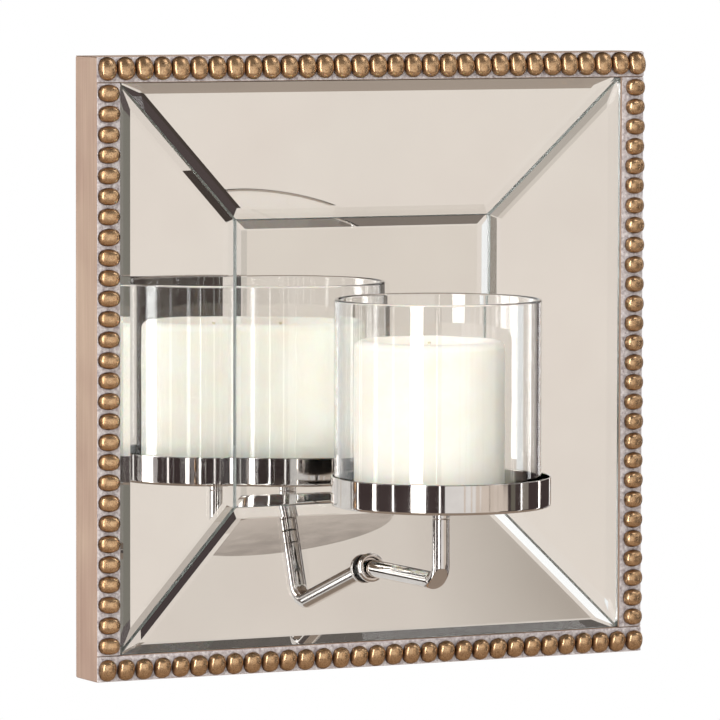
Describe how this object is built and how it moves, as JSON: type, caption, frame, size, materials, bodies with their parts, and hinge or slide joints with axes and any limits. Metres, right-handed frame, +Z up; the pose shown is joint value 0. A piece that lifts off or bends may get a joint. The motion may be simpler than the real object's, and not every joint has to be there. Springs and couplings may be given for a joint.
{
  "type": "wall sconce candle holder",
  "caption": "Square wall sconce: a shallow tray of bevelled mirrors in a beaded frame, with a bent metal arm, a round dish, a glass hurricane and a pillar candle.",
  "frame": {"origin": "centre of the square frame's back, on the wall plane", "axes": "+Z up, +Y into the wall, +X to the right of someone facing the sconce; the front faces -Y"},
  "size_m": [0.305, 0.148, 0.305],
  "materials": {
    "frame_finish": "champagne metallic paint on wood, brushed lengthwise",
    "gilded_beads": "antiqued gold leaf on moulded beads, dark in the hollows",
    "mirror": "silvered float glass, ground and polished bevel",
    "fibreboard": "sawn medium-density fibreboard",
    "hardboard": "tempered hardboard, smooth side out",
    "chrome": "polished chrome plate",
    "clear_glass": "clear, fire-polished rim",
    "wax": "ivory paraffin wax, soft satin",
    "cotton": "waxed braided cotton",
    "zinc_steel": "zinc plated"
  },
  "bodies": {
    "frame": {"frame_rail_top": "frame_finish", "bead_row_top": "gilded_beads", "mirror_top": "mirror", "mirror_wedge_top": "fibreboard", "corner_nail_top": "zinc_steel", "wedge_screw_top_a": "zinc_steel", "glazing_point_top_a": "zinc_steel", "wedge_screw_top_b": "zinc_steel", "glazing_point_top_b": "zinc_steel", "frame_rail_right": "frame_finish", "bead_row_right": "gilded_beads", "mirror_right": "mirror", "mirror_wedge_right": "fibreboard", "corner_nail_right": "zinc_steel", "wedge_screw_right_a": "zinc_steel", "glazing_point_right_a": "zinc_steel", "wedge_screw_right_b": "zinc_steel", "glazing_point_right_b": "zinc_steel", "frame_rail_bottom": "frame_finish", "bead_row_bottom": "gilded_beads", "mirror_bottom": "mirror", "mirror_wedge_bottom": "fibreboard", "corner_nail_bottom": "zinc_steel", "wedge_screw_bottom_a": "zinc_steel", "glazing_point_bottom_a": "zinc_steel", "wedge_screw_bottom_b": "zinc_steel", "glazing_point_bottom_b": "zinc_steel", "frame_rail_left": "frame_finish", "bead_row_left": "gilded_beads", "mirror_left": "mirror", "mirror_wedge_left": "fibreboard", "corner_nail_left": "zinc_steel", "wedge_screw_left_a": "zinc_steel", "glazing_point_left_a": "zinc_steel", "wedge_screw_left_b": "zinc_steel", "glazing_point_left_b": "zinc_steel", "mirror_centre": "mirror", "back_board": "hardboard", "arm": "chrome", "arm_escutcheon": "chrome", "arm_washer": "zinc_steel", "arm_nut": "zinc_steel", "hanger_strap_right": "zinc_steel", "hanger_screw_right_a": "zinc_steel", "hanger_screw_right_b": "zinc_steel", "hanger_strap_left": "zinc_steel", "hanger_screw_left_a": "zinc_steel", "hanger_screw_left_b": "zinc_steel"},
    "dish": {"candle_dish": "chrome", "dish_coupling": "chrome", "dish_screw": "zinc_steel"},
    "glass": {"hurricane_glass": "clear_glass"},
    "candle": {"pillar_candle": "wax", "candle_wick": "cotton"},
    "hanger_loop_right": {"hanger_ring_right": "zinc_steel"},
    "hanger_loop_left": {"hanger_ring_left": "zinc_steel"}
  },
  "joints": [
    {"name": "dish_turn", "type": "hinge", "parent": "frame", "child": "dish", "pos_m": [0, -0.0942, -0.0723], "axis": [0, 0, 1], "range_deg": [-180, 180]},
    {"name": "glass_lift", "type": "slide", "parent": "dish", "child": "glass", "axis": [0, 0, 1], "range_m": [0, 0.09]},
    {"name": "candle_lift", "type": "slide", "parent": "dish", "child": "candle", "axis": [0, 0, 1], "range_m": [0, 0.12]},
    {"name": "hanger_right_flip", "type": "hinge", "parent": "frame", "child": "hanger_loop_right", "pos_m": [0.1, -0.0034, 0.075], "axis": [0, 0, -1], "range_deg": [0, 180]},
    {"name": "hanger_left_flip", "type": "hinge", "parent": "frame", "child": "hanger_loop_left", "pos_m": [-0.1, -0.0034, 0.075], "axis": [0, 0, 1], "range_deg": [0, 180]}
  ]
}
